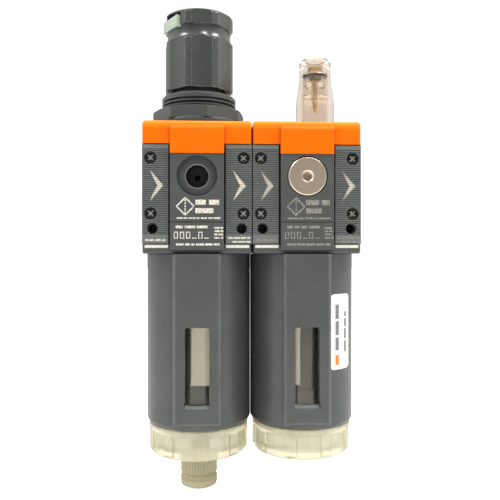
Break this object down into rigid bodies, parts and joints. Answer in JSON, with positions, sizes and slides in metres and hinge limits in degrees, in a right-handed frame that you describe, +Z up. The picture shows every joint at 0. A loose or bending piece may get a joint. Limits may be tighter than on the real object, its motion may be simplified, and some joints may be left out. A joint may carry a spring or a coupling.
{
  "type": "filter regulator lubricator",
  "caption": "Two square air-treatment modules side by side: a filter regulator with a fluted knob and a lubricator with a sight dome, each over a guarded clear bowl.",
  "frame": {"origin": "centre of the inlet port's mouth, on the filter regulator's outer side face", "axes": "+X along the air flow from inlet to outlet, -Y towards the front panels, +Z up towards the knob and the sight dome"},
  "size_m": [0.084, 0.0432, 0.1906],
  "materials": {
    "grey_housing": "fine moulded texture, satin",
    "grey_plate": "moulded with fine horizontal ridges",
    "grey_guard": "fine moulded texture, satin",
    "orange_cap": "semi-gloss orange",
    "black_screw": "black oxide",
    "port_metal": "as cast and machined",
    "nickel_plug": "nickel plated, warm",
    "seal_rubber": "nitrile black",
    "black_bonnet": "dark charcoal, satin",
    "black_knob": "dark charcoal, semi-gloss",
    "pale_tab": "pale greenish white",
    "zinc_steel": "zinc plated",
    "spring_steel": "drawn wire",
    "brass_part": "turned brass",
    "inner_plastic": "natural moulded",
    "sintered_filter": "porous sintered",
    "clear_bowl": "clear with a yellow tinge",
    "clear_dome": "clear, colourless",
    "tube_plastic": "translucent tube",
    "drain_plastic": "olive-beige, knurled"
  },
  "bodies": {
    "frame": {"filter_body": "grey_housing", "oiler_body": "grey_housing", "filter_cap": "orange_cap", "oiler_cap": "orange_cap", "filter_front_plates": "grey_plate", "filter_rear_plates": "grey_plate", "oiler_front_plates": "grey_plate", "oiler_rear_plates": "grey_plate", "plate_screws": "black_screw", "inlet_flange": "port_metal", "joining_flange": "port_metal", "outlet_flange": "port_metal", "flange_seals": "seal_rubber", "oil_fill_plug": "nickel_plug", "plug_seal": "seal_rubber", "bonnet": "black_bonnet", "thrust_washer": "zinc_steel", "main_spring": "spring_steel", "diaphragm": "seal_rubber", "poppet_spring": "spring_steel", "filter_holder": "inner_plastic", "cyclone_ring": "inner_plastic", "filter_element": "sintered_filter", "filter_baffle": "inner_plastic", "sight_dome": "clear_dome", "dome_seal": "seal_rubber", "needle_housing": "inner_plastic", "housing_seal": "seal_rubber", "drip_seat": "inner_plastic", "venturi_insert": "inner_plastic", "flap_pin": "zinc_steel", "oil_tube": "tube_plastic", "oil_strainer": "sintered_filter", "ball_seat": "brass_part"},
    "screw": {"adjusting_screw": "zinc_steel"},
    "knob": {"adjusting_knob": "black_knob"},
    "tab": {"lock_tab": "pale_tab"},
    "nut": {"spring_nut": "brass_part"},
    "spring_plate": {"diaphragm_plate": "zinc_steel"},
    "poppet": {"valve_poppet": "brass_part", "poppet_seal": "seal_rubber"},
    "filter_bowl_unit": {"filter_bowl": "clear_bowl", "filter_guard": "grey_guard", "filter_bowl_seal": "seal_rubber", "drain_bush": "brass_part", "drain_spring": "spring_steel"},
    "oiler_bowl_unit": {"oiler_bowl": "clear_bowl", "oiler_guard": "grey_guard", "oiler_bowl_seal": "seal_rubber"},
    "drain_valve": {"drain_stem": "brass_part", "drain_seal": "seal_rubber", "drain_clip": "zinc_steel"},
    "drain_grip": {"drain_knob": "drain_plastic"},
    "needle_carrier": {"needle_seal": "seal_rubber"},
    "needle": {"needle_screw": "brass_part"},
    "flap": {"flow_flap": "inner_plastic"},
    "ball": {"check_ball": "zinc_steel"}
  },
  "joints": [
    {"name": "knob_turn", "type": "hinge", "parent": "frame", "child": "screw", "pos_m": [0.021, 0, 0.045], "axis": [0, 0, 1], "range_deg": [-1260, 0]},
    {"name": "knob_push", "type": "slide", "parent": "screw", "child": "knob", "axis": [0, 0, 1], "range_m": [-0.0016, 0]},
    {"name": "tab_pull", "type": "slide", "parent": "knob", "child": "tab", "axis": [-0.8536, -0.521, 0], "range_m": [0, 0.005]},
    {"name": "nut_travel", "type": "slide", "parent": "frame", "child": "nut", "axis": [0, 0, 1], "range_m": [-0.0053, 0], "deforming": ["main_spring"]},
    {"name": "diaphragm_travel", "type": "slide", "parent": "frame", "child": "spring_plate", "axis": [0, 0, 1], "range_m": [-0.0015, 0], "deforming": ["diaphragm"]},
    {"name": "poppet_travel", "type": "slide", "parent": "frame", "child": "poppet", "axis": [0, 0, 1], "range_m": [-0.0015, 0], "deforming": ["poppet_spring"]},
    {"name": "filter_bowl_turn", "type": "hinge", "parent": "frame", "child": "filter_bowl_unit", "pos_m": [0.021, 0, -0.024], "axis": [0, 0, 1], "range_deg": [0, 30]},
    {"name": "oiler_bowl_turn", "type": "hinge", "parent": "frame", "child": "oiler_bowl_unit", "pos_m": [0.063, 0, -0.024], "axis": [0, 0, 1], "range_deg": [0, 30]},
    {"name": "drain_push", "type": "slide", "parent": "filter_bowl_unit", "child": "drain_valve", "axis": [0, 0, 1], "range_m": [0, 0.003], "deforming": ["drain_spring"]},
    {"name": "drain_turn", "type": "hinge", "parent": "drain_valve", "child": "drain_grip", "pos_m": [0.021, 0, -0.116], "axis": [0, 0, 1], "range_deg": [0, 90]},
    {"name": "needle_travel", "type": "slide", "parent": "frame", "child": "needle_carrier", "axis": [0, 0, 1], "range_m": [0, 0.0012]},
    {"name": "needle_turn", "type": "hinge", "parent": "needle_carrier", "child": "needle", "pos_m": [0.069, 0, 0.047], "axis": [0, 0, 1], "range_deg": [0, 864]},
    {"name": "flap_swing", "type": "hinge", "parent": "frame", "child": "flap", "pos_m": [0.061, 0, 0.004], "axis": [0, -1, 0], "range_deg": [0, 50]},
    {"name": "ball_lift", "type": "slide", "parent": "frame", "child": "ball", "axis": [0, 0, 1], "range_m": [0, 0.0012]}
  ],
  "couplings": [
    {"joint": "nut_travel", "follows": "knob_turn", "m_per_rad": 0.00023873},
    {"joint": "poppet_travel", "follows": "diaphragm_travel", "ratio": 1},
    {"joint": "needle_turn", "follows": "needle_travel", "rad_per_m": 12566}
  ]
}
